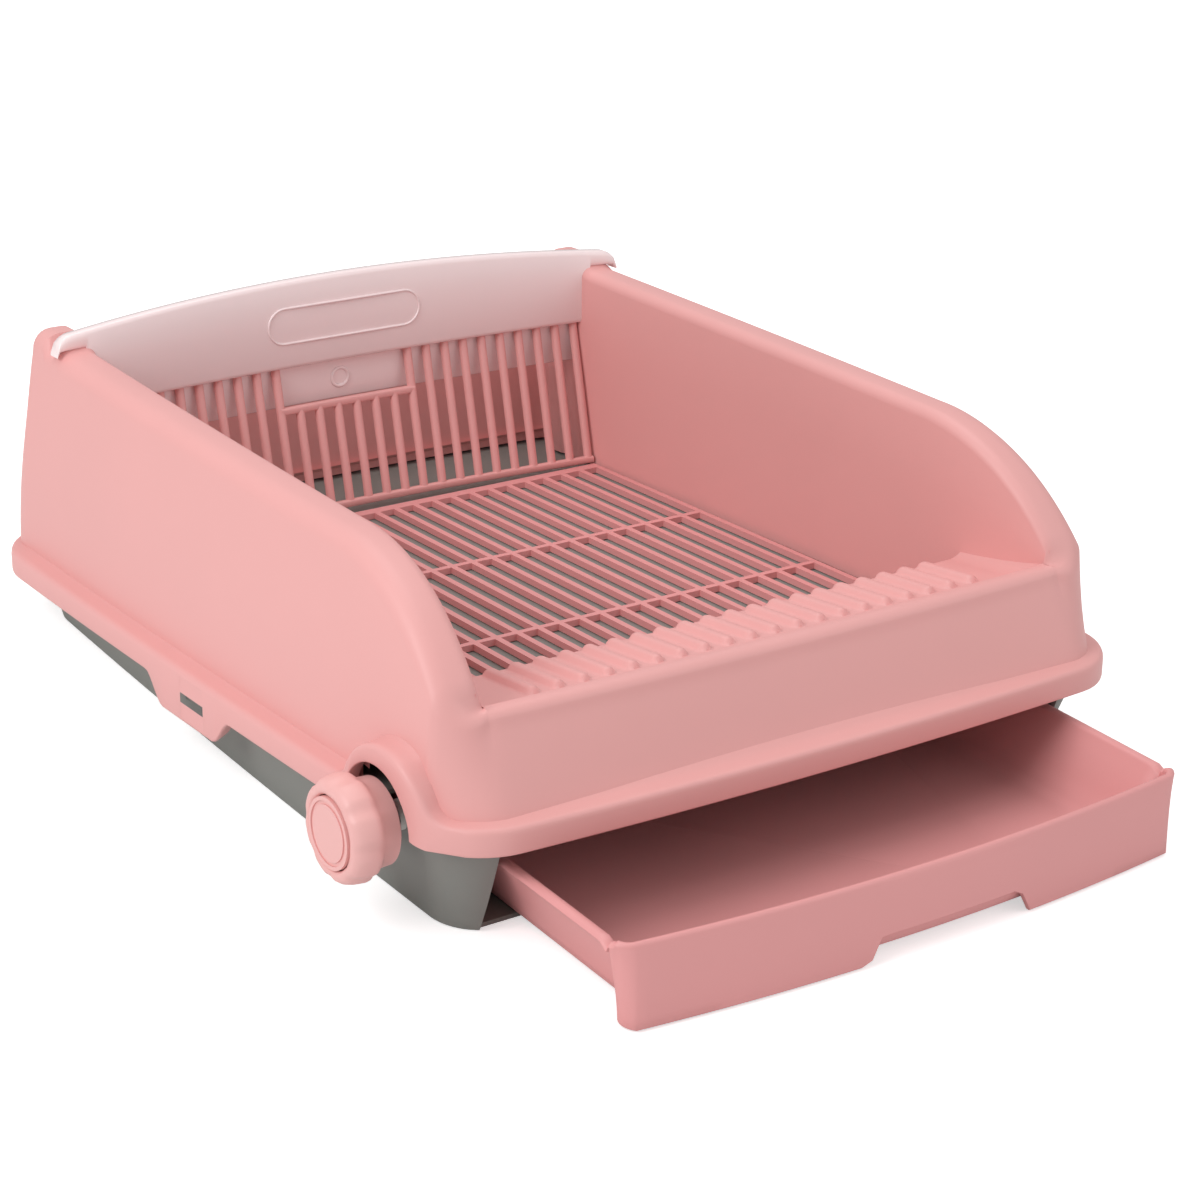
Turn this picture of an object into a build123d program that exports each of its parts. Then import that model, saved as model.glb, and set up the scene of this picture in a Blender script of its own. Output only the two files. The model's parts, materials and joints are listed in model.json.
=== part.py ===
from build123d import *
from math import atan, degrees, radians, tan
import os

# Drawer litter box, in millimetres. X is to the right as seen from the front, -Y is the front, +Z is up.
# The origin is the middle of the base's flat underside. Everything above the base belongs to a deck
# that climbs a little towards the front, so those pieces are drawn level and then set on the deck.

# ---- driving dimensions: deck and rim -------------------------------------------------------
DECK_PITCH = 3.35          # degrees, front higher than the rear
DECK_HEIGHT = 44.2         # of the rim's lower edge over the floor, at the middle
RIM_HALF_WIDTH = 232.5
RIM_HALF_LENGTH = 280.0
RIM_SIDE_BOW = 3.5
RIM_END_BOW = 8.5
RIM_CORNER = 44.0
RIM_DEPTH = 15.0           # height of the rim's outer face
SKIN = 3.0                 # moulded wall thickness
SEAT_GAP = 0.3             # between pieces that only rest on each other

# ---- upper shell ----------------------------------------------------------------------------
WALL_HALF_WIDTH = 221.5    # outer face where it leaves the rim
WALL_HALF_LENGTH = 271.0
WALL_SIDE_LEAN = 0.089     # inward run for each unit of height
WALL_END_LEAN = 0.40
WALL_CORNER = 42.0
WALL_DEPTH = 27.0          # of the double side walls
WALL_TOP_REAR = 146.0      # height of the side wall's crest at its rear end
WALL_TOP_REAR_Y = 213.0
WALL_TOP_FRONT = 132.5     # height of the crest where its front curve starts
WALL_CURVE_Y = -128.0
WALL_CURVE_FOOT_Y = -250.0
WALL_CURVE_ANGLE = 62.0    # steepest slope of the front curve, in degrees
WALL_CURVE_RADIUS = 108.0
WALL_FOOT_RADIUS = 13.0
CREST_RADIUS = 9.0
CREST_DROP = 9.0           # solid crest over the hollow of the side walls
CREST_SHIFT = 0.6          # rearward move of the front curve for each unit of drop
INNER_CREST_RADIUS = 4.0
POCKET_CORNER = 21.0
LIP_HEIGHT = 61.0          # top of the front wall over the rim's lower edge
LIP_Y = -243.0
REAR_WALL_TOP = 98.0       # outer rear wall, under the back panel
LEDGE_FRONT_HEIGHT = 56.5
LEDGE_REAR_Y = -175.0
LEDGE_REAR_HEIGHT = 52.0
RIB_COUNT = 20
RIB_PITCH = 15.6
RIB_LENGTH = 43.0
RIB_WIDTH = 7.0
RIB_HEIGHT = 2.4
RIB_FRONT_Y = -220.0
TAB_TOP_HALF = 50.0        # half lengths of the latch tab at the rim and at its foot
TAB_FOOT_HALF = 30.0
TAB_Y = -3.0
TAB_DROP = 16.5
WINDOW_LENGTH = 28.0
WINDOW_Y = -9.0
WINDOW_LOW = -5.0

# ---- base tub -------------------------------------------------------------------------------
BASE_HALF_WIDTH = 206.0    # at the floor
BASE_HALF_LENGTH = 249.5
BASE_END_BOW = 7.9
BASE_CORNER = 30.0
BASE_TOP_HALF_WIDTH = 224.0
BASE_TOP_HALF_LENGTH = 269.0
BASE_LOFT_HEIGHT = 80.0
BASE_FLOOR = 2.5
MOUTH_HEIGHT = 51.0        # drawer opening, over the floor
MOUTH_GAP = 2.5            # beside the drawer
MOUTH_SETBACK = 13.0       # of the floor's front edge in the mouth, clear of the drawer front

# ---- litter pan -----------------------------------------------------------------------------
PAN_BOTTOM = 8.0           # underside over the rim's lower edge
PAN_FLOOR = 2.5
PAN_WALL_GAP = 1.5         # from the shell's inner skin
PAN_WALL = 2.5
PAN_WALL_HEIGHT = 20.0
CHUTE_REAR_Y = -193.0

# ---- drawer ---------------------------------------------------------------------------------
DRAWER_OUT = 100.0         # how far it is pulled out in this pose
DRAWER_HALF_WIDTH = 186.0  # at its rim
DRAWER_DRAFT = 9.0         # narrower at the floor on each side
DRAWER_BOTTOM = 3.5
DRAWER_HEIGHT = 42.0
DRAWER_LENGTH = 285.0
DRAWER_FLOOR = 2.5
FRONT_Y = -366.0           # face of the drawer front at the middle, as pulled out
FRONT_DEPTH = 20.0
FRONT_HALF_WIDTH = 188.0
FRONT_FOOT_HALF_WIDTH = 177.0
FRONT_BOW = 11.5
FRONT_TOP = 47.0
FRONT_BOTTOM = 1.2
FRONT_RAKE = 6.0           # foot of the face ahead of its top
GRIP_X = 14.0              # middle of the finger notch
GRIP_HALF_TOP = 42.0
GRIP_HALF_FOOT = 52.0
GRIP_HEIGHT = 14.0

# ---- turning gear ---------------------------------------------------------------------------
SHAFT_Y = -205.0           # axis, over the floor and from the middle
SHAFT_Z = 58.4
SHAFT_RADIUS = 6.0
CLIP_X = 203.0
RUNNING_GAP = 0.05
FLAT_DEPTH = 1.2
BUSH_WALL = 2.0
BUSH_FLANGE = 3.0
BUSH_LENGTH = 10.0
KNOB_FACE_X = -257.0
KNOB_BACK_X = -227.5
KNOB_WAIST_X = -237.2
KNOB_RADIUS = 29.5
KNOB_FACE_RADIUS = 25.5
KNOB_WAIST_RADIUS = 23.5
KNOB_WIDE_X = -243.5
DIMPLE_COUNT = 8
DIMPLE_RADIUS = 9.0
DIMPLE_DEPTH = 1.8
CAP_RADIUS = 19.0
CAP_THICKNESS = 2.5
ARCH_RADIUS = 26.0
ARCH_BAND = 10.0
ARCH_REACH = 4.0           # of the arch's face beyond the rim
GRATE_HALF_WIDTH = 178.0
GRATE_REAR_Y = 184.0
GRATE_BAR = 4.0
GRATE_THICKNESS = 4.0
GRATE_GAPS = 24
GRATE_LIFT = 0.5           # over the pan's floor
DAM_HEIGHT = 30.0
SLEEVE_WALL = 3.5
SLEEVE_LENGTH = 34.0
SLEEVE_PLACES = (-150.0, 0.0, 150.0)

# ---- rear grille and back panel -------------------------------------------------------------
GRILLE_BARS = 26
GRILLE_PITCH = 14.1
GRILLE_BAR = 5.0
GRILLE_DEPTH = 4.0
GRILLE_TOP = 106.0
GRILLE_BOTTOM = 16.0
GRILLE_RAIL = 6.0
GRILLE_SETBACK = 1.0       # of its top behind the panel's front face
GRILLE_LEAN = 0.25         # its foot stands forward, for each unit of height
WINDOW_HALF = 45.0         # open window in the grille
WINDOW_RAIL = 82.0
PANEL_Y = 213.0            # middle of the panel's front face
PANEL_HALF_WIDTH = 206.0   # to the tips of its ears
PANEL_BOW = 12.5           # over that width
PANEL_THICKNESS = 3.0
BAND_THICKNESS = 7.0
BAND_LOW = 109.0
PANEL_LOW = 84.0
PANEL_TOP = 166.5
PANEL_TOP_END = 156.0
EAR_RISE = 0.6             # extra clearance over the walls' crest
HANDLE_LENGTH = 110.0
HANDLE_HEIGHT = 23.0
HANDLE_Z = 137.5

PARTS = "parts"
DECK = Location((0, 0, DECK_HEIGHT), (-DECK_PITCH, 0, 0))
REACH = 700.0              # longer than anything here, for cutting tools


def save(name, shape):
    """Write one sub-part to its own file."""
    export_step(shape, os.path.join(PARTS, name + ".step"))


def outline(half_width, half_length, side_bow, end_bow, corner):
    """A rounded rectangle whose sides bow outwards."""
    x, y = half_width - side_bow, half_length - end_bow
    edges = [
        ThreePointArc((x, -y), (half_width, 0), (x, y)),
        ThreePointArc((x, y), (0, half_length), (-x, y)),
        ThreePointArc((-x, y), (-half_width, 0), (-x, -y)),
        ThreePointArc((-x, -y), (0, -half_length), (x, -y)),
    ]
    face = make_face(edges)
    return fillet(face.vertices(), corner)


def block(x0, x1, y0, y1, z0, z1):
    """A box between two corners."""
    return Pos((x0 + x1) / 2, (y0 + y1) / 2, (z0 + z1) / 2) * Box(x1 - x0, y1 - y0, z1 - z0)


def along_x(points, x0, x1):
    """A prism along X over a polygon of (y, z) points."""
    face = Plane.YZ * make_face(Polyline(*points, close=True))
    return Pos(x0, 0, 0) * extrude(face, x1 - x0)


def rod_x(radius, x0, x1, y, z):
    """A round bar along X."""
    return Pos((x0 + x1) / 2, y, z) * Rot(0, 90, 0) * Cylinder(radius, x1 - x0)


def single(shape):
    """The one solid of a result."""
    return shape.solids()[0] if len(shape.solids()) == 1 else shape


# ---- shell ----------------------------------------------------------------------------------
def wall_section(z, side_inset=0.0, end_inset=0.0):
    """Outline of the shell's outer wall at a height, moved inwards by the insets."""
    rise = z - RIM_DEPTH
    half_width = WALL_HALF_WIDTH - WALL_SIDE_LEAN * rise - side_inset
    half_length = WALL_HALF_LENGTH - WALL_END_LEAN * rise - end_inset
    corner = WALL_CORNER - min(side_inset, WALL_CORNER / 2)
    return Pos(0, 0, z) * outline(half_width, half_length, RIM_SIDE_BOW, RIM_END_BOW, corner)


def wall_loft(low, high, side_inset=0.0, end_inset=0.0):
    """The space inside the wall's outer face, between two heights."""
    return loft([wall_section(low, side_inset, end_inset), wall_section(high, side_inset, end_inset)])


def above_crest(drop=0.0):
    """The space over the side walls' crest line and over the front lip, moved into the wall by the drop."""
    slope = (WALL_TOP_REAR - WALL_TOP_FRONT) / (WALL_TOP_REAR_Y - WALL_CURVE_Y)
    foot_y = WALL_CURVE_FOOT_Y
    run = (WALL_TOP_FRONT - LIP_HEIGHT) / tan(radians(WALL_CURVE_ANGLE))
    shoulder_y = foot_y + run
    shoulder_z = WALL_TOP_FRONT + slope * (shoulder_y - WALL_CURVE_Y)
    far_z = WALL_TOP_REAR + slope * (REACH - WALL_TOP_REAR_Y)
    face = make_face(Polyline(
        (-REACH, LIP_HEIGHT), (foot_y, LIP_HEIGHT), (shoulder_y, shoulder_z), (REACH, far_z),
        (REACH, REACH), (-REACH, REACH), close=True))
    corners = face.vertices().sort_by(Axis((0, 0, 0), (1, 0, 0)))
    foot = [v for v in corners if abs(v.X - foot_y) < 0.01]
    shoulder = [v for v in corners if abs(v.X - shoulder_y) < 0.01]
    face = fillet(foot, WALL_FOOT_RADIUS)
    shoulder = [v for v in face.vertices() if abs(v.X - shoulder_y) < 0.01]
    face = fillet(shoulder, WALL_CURVE_RADIUS)
    tool = Pos(-REACH, 0, 0) * extrude(Plane.YZ * face, 2 * REACH)
    return Pos(0, CREST_SHIFT * drop, -drop) * tool


def half_width_inside(z):
    """Half the clear width between the double side walls at a height."""
    return WALL_HALF_WIDTH - WALL_SIDE_LEAN * (z - RIM_DEPTH) - WALL_DEPTH


def on_both(shape, first, second):
    """Edges of a shape that lie on two tools, without the straight seams across it."""
    found = []
    for edge in shape.edges():
        points = [edge @ 0.1, edge @ 0.5, edge @ 0.9]
        near = max(max(first.distance_to(p), second.distance_to(p)) for p in points)
        if near < 0.01 and edge.geom_type != GeomType.LINE:
            found.append(edge)
    return found


def pocket_section(z):
    """Outline of the litter space between the double side walls, behind the front lip."""
    rear = WALL_HALF_LENGTH - WALL_END_LEAN * (z - RIM_DEPTH) - SKIN
    half_length = (rear - LIP_Y) / 2
    plan = outline(half_width_inside(z), half_length, RIM_SIDE_BOW, RIM_END_BOW, POCKET_CORNER)
    return Pos(0, rear - half_length, z) * plan


def under_ledge(drop=0.0):
    """The space under the ledge's sloping surface."""
    front, rear = LEDGE_FRONT_HEIGHT - drop, LEDGE_REAR_HEIGHT - drop
    slope = (rear - front) / (LEDGE_REAR_Y - LIP_Y)
    far = front + slope * (-REACH - LIP_Y)
    return along_x([(-REACH, far), (LEDGE_REAR_Y, rear), (LEDGE_REAR_Y, -REACH), (-REACH, -REACH)], -REACH, REACH)


def shell_walls():
    """Double side walls, the front wall with its ledge, and a single rear wall."""
    low, high = PAN_BOTTOM + PAN_FLOOR + SEAT_GAP, WALL_TOP_REAR + 30
    outer, crest = wall_loft(low, high), above_crest()
    body = outer - crest
    rims = [e for e in body.edges() if e.geom_type != GeomType.LINE
            and max(crest.distance_to(e @ t) for t in (0.1, 0.5, 0.9)) < 0.01]
    body = fillet(rims, CREST_RADIUS)
    pocket = loft([pocket_section(low - 1), pocket_section(high)]) - under_ledge()
    body = body - pocket
    hollow = wall_loft(low, high, SKIN, SKIN)
    keep = wall_loft(low, high, WALL_DEPTH - SKIN, -REACH / 2)
    body = body - (hollow - keep - above_crest(CREST_DROP))
    chute = wall_loft(low, LIP_HEIGHT, WALL_DEPTH, SKIN) & under_ledge(SKIN)
    body = body - chute
    opening = half_width_inside(WALL_TOP_REAR)
    return body - block(-opening, opening, 100, REACH, REAR_WALL_TOP, REACH)


def rim():
    """The rim that overhangs the base, open underneath."""
    full = extrude(outline(RIM_HALF_WIDTH, RIM_HALF_LENGTH, RIM_SIDE_BOW, RIM_END_BOW, RIM_CORNER), RIM_DEPTH)
    full = fillet(full.faces().sort_by(Axis.Z)[-1].edges(), 4)
    under = outline(RIM_HALF_WIDTH - SKIN, RIM_HALF_LENGTH - SKIN, RIM_SIDE_BOW, RIM_END_BOW, RIM_CORNER - SKIN)
    under = Pos(0, 0, -1) * extrude(under, 1 + PAN_BOTTOM + PAN_FLOOR + SEAT_GAP)
    middle = wall_section(RIM_DEPTH, SKIN / 3, SKIN / 3)
    return full - under - Pos(0, 0, -RIM_DEPTH) * extrude(middle, 2 * RIM_DEPTH)


def anti_slip_ribs():
    """Rounded ribs that run from front to rear on the ledge."""
    fall = (LEDGE_FRONT_HEIGHT - LEDGE_REAR_HEIGHT) / (LEDGE_REAR_Y - LIP_Y)
    middle_y = RIB_FRONT_Y + RIB_LENGTH / 2
    height = LEDGE_FRONT_HEIGHT - fall * (middle_y - LIP_Y)
    rib = extrude(Rot(0, 0, 90) * SlotOverall(RIB_LENGTH, RIB_WIDTH), RIB_HEIGHT + 1)
    rib = fillet(rib.faces().sort_by(Axis.Z)[-1].edges(), RIB_HEIGHT - 0.4)
    tilt = -degrees(atan(fall))
    ribs = []
    for i in range(RIB_COUNT):
        x = (i - (RIB_COUNT - 1) / 2) * RIB_PITCH
        ribs.append(Pos(x, middle_y, height - 1) * Rot(tilt, 0, 0) * rib)
    return ribs


def latch_tab(side):
    """A tab that drops from the rim over the base, with the cut for its window."""
    outer = RIM_HALF_WIDTH
    points = [
        (TAB_Y + TAB_TOP_HALF, RIM_DEPTH / 2), (TAB_Y + TAB_TOP_HALF, 0), (TAB_Y + TAB_FOOT_HALF, -TAB_DROP),
        (TAB_Y - TAB_FOOT_HALF, -TAB_DROP), (TAB_Y - TAB_TOP_HALF, 0), (TAB_Y - TAB_TOP_HALF, RIM_DEPTH / 2),
    ]
    tab = along_x(points, outer - SKIN, outer)
    window = block(outer - 2 * SKIN, outer + 1, WINDOW_Y - WINDOW_LENGTH / 2, WINDOW_Y + WINDOW_LENGTH / 2,
                   WINDOW_LOW, RIM_DEPTH - 2)
    if side < 0:
        tab, window = mirror(tab, Plane.YZ), mirror(window, Plane.YZ)
    return tab, window


def deck_point(y, z):
    """A point of the level frame, as seen from the deck."""
    moved = DECK.inverse() * Location((0, y, z))
    return moved.position.Y, moved.position.Z


def upper_shell():
    """The pink upper shell."""
    body = shell_walls() + rim() + anti_slip_ribs()
    for side in (-1, 1):
        tab, window = latch_tab(side)
        body = body + tab - window
    y, z = deck_point(SHAFT_Y, SHAFT_Z)
    face = -(RIM_HALF_WIDTH + ARCH_REACH)
    boss = rod_x(ARCH_RADIUS + ARCH_BAND, face, -WALL_HALF_WIDTH + 4, y, z + 4)
    boss = boss - block(-REACH, REACH, -REACH, REACH, -REACH, 0)
    boss = boss - wall_loft(0, RIM_DEPTH * 5, SKIN, SKIN)
    seat = PAN_BOTTOM + PAN_FLOOR + SEAT_GAP
    boss = boss - block(-RIM_HALF_WIDTH + SKIN, REACH, -REACH, REACH, -REACH, seat)
    throat = rod_x(ARCH_RADIUS, -REACH, -WALL_HALF_WIDTH + WALL_DEPTH - 2 * SKIN, y, z)
    throat += block(-REACH, -WALL_HALF_WIDTH + WALL_DEPTH - 2 * SKIN, y - ARCH_RADIUS, y + ARCH_RADIUS, -REACH, z)
    body = body + boss - throat
    return DECK * single(body)


# ---- base and pan ---------------------------------------------------------------------------
def base_section(z, inset=0.0):
    """Outline of the tub at a height over the floor."""
    share = z / BASE_LOFT_HEIGHT
    half_width = BASE_HALF_WIDTH + (BASE_TOP_HALF_WIDTH - BASE_HALF_WIDTH) * share - inset
    half_length = BASE_HALF_LENGTH + (BASE_TOP_HALF_LENGTH - BASE_HALF_LENGTH) * share - inset
    return Pos(0, 0, z) * outline(half_width, half_length, RIM_SIDE_BOW, BASE_END_BOW, BASE_CORNER - inset)


def base_tub():
    """The grey tub, cut off along the deck, with the drawer's mouth and the shaft's seats."""
    tub = loft([base_section(0), base_section(BASE_LOFT_HEIGHT)])
    tub = fillet(tub.faces().sort_by(Axis.Z)[0].edges(), 3)
    inside = loft([base_section(BASE_FLOOR, SKIN), base_section(BASE_LOFT_HEIGHT, SKIN)])
    tub = tub - inside - DECK * block(-REACH, REACH, -REACH, REACH, PAN_BOTTOM, REACH)
    mouth = DRAWER_HALF_WIDTH + MOUTH_GAP
    tub = tub - block(-mouth, mouth, -REACH, -BASE_HALF_LENGTH / 2, BASE_FLOOR, MOUTH_HEIGHT)
    tub = tub - block(-mouth, mouth, -REACH, -BASE_HALF_LENGTH + MOUTH_SETBACK, -1, BASE_FLOOR)
    rail = block(-1.5, 1.5, -BASE_HALF_LENGTH + 30, BASE_HALF_LENGTH - 30, 0.5, 12)
    place = mouth + 1.5
    tub = tub + Pos(place, 0, 0) * rail + Pos(-place, 0, 0) * rail
    boss = block(BASE_TOP_HALF_WIDTH - 16, RIM_HALF_WIDTH - SKIN - 0.6, WINDOW_Y - 12, WINDOW_Y + 12,
                 WINDOW_LOW + 1, PAN_BOTTOM - 1)
    tub = tub + DECK * boss + DECK * mirror(boss, Plane.YZ)
    seat = SHAFT_RADIUS + RUNNING_GAP + BUSH_WALL
    for side in (-1, 1):
        x0, x1 = sorted((side * (BASE_HALF_WIDTH - 20), side * REACH))
        tub = tub - rod_x(seat, x0, x1, SHAFT_Y, SHAFT_Z)
        tub = tub - block(x0, x1, SHAFT_Y - seat, SHAFT_Y + seat, SHAFT_Z, REACH)
    return single(tub)


def litter_pan():
    """The pan's floor with its upstand walls, from the chute's edge to its rim over the tub."""
    rim_gap = 2.0
    plate = outline(RIM_HALF_WIDTH - SKIN - rim_gap, RIM_HALF_LENGTH - SKIN - rim_gap, RIM_SIDE_BOW,
                    RIM_END_BOW, RIM_CORNER - SKIN)
    pan = Pos(0, 0, PAN_BOTTOM) * extrude(plate, PAN_FLOOR)
    pan -= block(-REACH, REACH, -REACH, CHUTE_REAR_Y, -REACH, REACH)
    wall_x = half_width_inside(PAN_BOTTOM) + SKIN + PAN_WALL_GAP
    for side in (-1, 1):
        x0, x1 = sorted((side * wall_x, side * (wall_x + PAN_WALL)))
        pan += block(x0, x1, CHUTE_REAR_Y + 3, PANEL_Y - 35, PAN_BOTTOM, PAN_BOTTOM + PAN_WALL_HEIGHT)
    return DECK * single(pan)


# ---- turning gear ---------------------------------------------------------------------------
def drive_shaft():
    """Cross shaft with a flat, from the knob to the far bush, grooved for its clip."""
    right = BASE_TOP_HALF_WIDTH - 5
    left = KNOB_FACE_X + 8
    shaft = rod_x(SHAFT_RADIUS, left, right, SHAFT_Y, SHAFT_Z)
    flat = block(left - 1, KNOB_BACK_X + 1, SHAFT_Y - SHAFT_RADIUS, SHAFT_Y + SHAFT_RADIUS,
                 SHAFT_Z + SHAFT_RADIUS - FLAT_DEPTH, SHAFT_Z + SHAFT_RADIUS + 1)
    shaft = shaft - flat - rod_x(1.6, left - 1, left + 12, SHAFT_Y, SHAFT_Z)
    groove_x = CLIP_X
    groove = rod_x(SHAFT_RADIUS + 1, groove_x, groove_x + 1.2, SHAFT_Y, SHAFT_Z)
    groove = groove - rod_x(SHAFT_RADIUS - 1.2, groove_x, groove_x + 1.2, SHAFT_Y, SHAFT_Z)
    return shaft - groove


def shaft_clip():
    """Open retaining clip in the shaft's groove."""
    x = CLIP_X + 0.1
    clip = rod_x(SHAFT_RADIUS + 3, x, x + 1.0, SHAFT_Y, SHAFT_Z)
    clip = clip - rod_x(SHAFT_RADIUS - 1.2, x, x + 1.0, SHAFT_Y, SHAFT_Z)
    mouth = block(x - 1, x + 2, SHAFT_Y - 3.2, SHAFT_Y + 3.2, SHAFT_Z - 2 * SHAFT_RADIUS, SHAFT_Z)
    return clip - mouth


def shaft_bush(side):
    """Flanged bush that lies in a seat of the tub's side wall."""
    inner = BASE_TOP_HALF_WIDTH - BUSH_LENGTH - 4
    outer = inner + BUSH_LENGTH
    radius = SHAFT_RADIUS + RUNNING_GAP + BUSH_WALL
    bush = rod_x(radius, inner, outer, SHAFT_Y, SHAFT_Z)
    bush += rod_x(radius + BUSH_FLANGE, inner - 2, inner, SHAFT_Y, SHAFT_Z)
    bush -= rod_x(SHAFT_RADIUS + RUNNING_GAP, inner - 5, outer + 5, SHAFT_Y, SHAFT_Z)
    return bush if side > 0 else mirror(bush, Plane.YZ)


def knob():
    """Turning knob with finger dimples, a pocket for its cap and a flatted bore."""
    points = [
        (0, KNOB_BACK_X), (KNOB_WAIST_RADIUS, KNOB_BACK_X), (KNOB_WAIST_RADIUS, KNOB_WAIST_X + 0.8),
        (KNOB_RADIUS - 2, KNOB_WAIST_X - 0.8), (KNOB_RADIUS, KNOB_WAIST_X - 3), (KNOB_RADIUS, KNOB_WIDE_X),
        (KNOB_FACE_RADIUS + 1, KNOB_FACE_X + 3), (KNOB_FACE_RADIUS - 1.5, KNOB_FACE_X), (0, KNOB_FACE_X),
    ]
    face = Plane.XY * make_face(Polyline(*[(x, r) for r, x in points], close=True))
    body = Pos(0, SHAFT_Y, SHAFT_Z) * revolve(face, Axis.X, 360)
    cutter_y = KNOB_RADIUS + DIMPLE_RADIUS - DIMPLE_DEPTH
    for i in range(DIMPLE_COUNT):
        turn = Rot(360 * (i + 0.5) / DIMPLE_COUNT, 0, 0)
        dimple = Pos(KNOB_WIDE_X - 1, 0, cutter_y) * Sphere(DIMPLE_RADIUS)
        body -= Pos(0, SHAFT_Y, SHAFT_Z) * turn * dimple
    body -= rod_x(CAP_RADIUS + 0.1, KNOB_FACE_X - 1, KNOB_FACE_X + CAP_THICKNESS, SHAFT_Y, SHAFT_Z)
    body -= rod_x(4.2, KNOB_FACE_X - 1, KNOB_FACE_X + 6, SHAFT_Y, SHAFT_Z)
    body -= rod_x(1.9, KNOB_FACE_X - 1, KNOB_FACE_X + 9, SHAFT_Y, SHAFT_Z)
    bore = rod_x(SHAFT_RADIUS, KNOB_FACE_X + 8, KNOB_BACK_X + 1, SHAFT_Y, SHAFT_Z)
    bore -= block(-REACH, REACH, SHAFT_Y - 20, SHAFT_Y + 20, SHAFT_Z + SHAFT_RADIUS - FLAT_DEPTH, REACH)
    return body - bore


def knob_cap():
    """Round cap on the knob's face, with a shallow ring round a low crown."""
    cap = rod_x(CAP_RADIUS, KNOB_FACE_X - 0.6, KNOB_FACE_X + CAP_THICKNESS, SHAFT_Y, SHAFT_Z)
    ring = rod_x(CAP_RADIUS - 2, KNOB_FACE_X - 2, KNOB_FACE_X + 0.2, SHAFT_Y, SHAFT_Z)
    ring -= rod_x(CAP_RADIUS - 4, KNOB_FACE_X - 2, KNOB_FACE_X + 0.2, SHAFT_Y, SHAFT_Z)
    return cap - ring


def knob_screw():
    """Screw that holds the knob on the shaft, under the cap."""
    head = rod_x(3.8, KNOB_FACE_X + 3.2, KNOB_FACE_X + 5.9, SHAFT_Y, SHAFT_Z)
    return head + rod_x(1.55, KNOB_FACE_X + 5.9, KNOB_FACE_X + 18, SHAFT_Y, SHAFT_Z)


def sieve_grate():
    """Lifting grate that lies on the pan's floor, with a dam in front and sleeves on the shaft."""
    y, z = deck_point(SHAFT_Y, SHAFT_Z)
    low = PAN_BOTTOM + PAN_FLOOR + GRATE_LIFT
    high = low + GRATE_THICKNESS
    front = y + SHAFT_RADIUS + 1
    frame = block(-GRATE_HALF_WIDTH, GRATE_HALF_WIDTH, front, GRATE_REAR_Y, low, high)
    gap = (2 * GRATE_HALF_WIDTH - 2 * GRATE_BAR - (GRATE_GAPS - 1) * GRATE_BAR) / GRATE_GAPS
    rows = 3
    first, last = front + 30, GRATE_REAR_Y - 2 * GRATE_BAR
    row_length = (last - first - (rows - 1) * GRATE_BAR) / rows
    for i in range(GRATE_GAPS):
        x = -GRATE_HALF_WIDTH + GRATE_BAR + i * (gap + GRATE_BAR)
        for k in range(rows):
            y0 = first + k * (row_length + GRATE_BAR)
            frame -= block(x, x + gap, y0, y0 + row_length, low - 1, high + 1)
    frame += block(-GRATE_HALF_WIDTH, GRATE_HALF_WIDTH, front, front + SKIN, z, z + DAM_HEIGHT)
    radius = SHAFT_RADIUS + SLEEVE_WALL
    for x in SLEEVE_PLACES:
        frame += rod_x(radius, x - SLEEVE_LENGTH / 2, x + SLEEVE_LENGTH / 2, y, z)
        frame += block(x - SLEEVE_LENGTH / 2, x + SLEEVE_LENGTH / 2, y, front + SKIN, z - 2, z + radius)
    frame -= rod_x(SHAFT_RADIUS, -GRATE_HALF_WIDTH - 1, GRATE_HALF_WIDTH + 1, y, z)
    for x in SLEEVE_PLACES:
        frame -= Pos(x, y - radius + 2, z) * Rot(90, 0, 0) * Cylinder(2.0, 2 * radius)
    return DECK * single(frame)


def grate_screws():
    """Screws through the sleeves into the shaft, one group."""
    y, z = deck_point(SHAFT_Y, SHAFT_Z)
    radius = SHAFT_RADIUS + SLEEVE_WALL
    screws = []
    for x in SLEEVE_PLACES:
        head = Pos(x, y - radius - 1.2, z) * Rot(90, 0, 0) * Cylinder(3.4, 2.2)
        pin = Pos(x, y - radius + 1.6, z) * Rot(90, 0, 0) * Cylinder(1.9, 3.6)
        screws.append(DECK * single(head + pin))
    return Compound(children=screws)


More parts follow.
